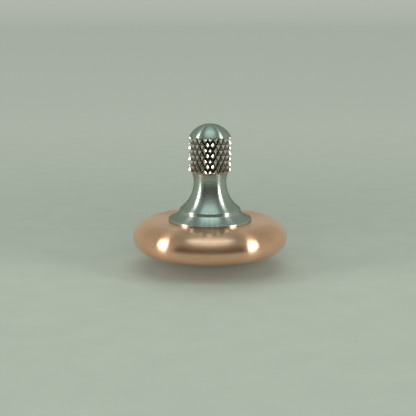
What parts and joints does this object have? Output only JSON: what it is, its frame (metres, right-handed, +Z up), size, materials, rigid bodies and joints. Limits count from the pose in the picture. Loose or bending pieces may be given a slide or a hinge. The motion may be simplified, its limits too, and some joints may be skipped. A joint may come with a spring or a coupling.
{
  "type": "spinning top",
  "caption": "Finger-spun top: a copper disc with a full rounded rim on a turned steel stem with a knurled grip, spinning on a ball tip.",
  "frame": {"origin": "the lowest point of the tip ball, where it touches the table", "axes": "+Z up along the spin axis towards the grip; X and Y are free, since the top is round, with the tip carrier's flats facing +X and -X"},
  "size_m": [0.03, 0.03, 0.028],
  "materials": {
    "copper": "satin turned copper, unlacquered",
    "steel": "satin turned stainless steel with a diamond knurl",
    "tip_steel": "plain turned steel",
    "ball": "polished hard ball"
  },
  "bodies": {
    "tip": {"tip_ball": "ball"},
    "top": {"flywheel": "copper", "stem": "steel", "tip_carrier": "tip_steel"}
  },
  "joints": [
    {"name": "spin", "type": "hinge", "parent": "tip", "child": "top", "pos_m": [0, 0, 0.0015], "axis": [0, 0, 1], "continuous": true}
  ]
}
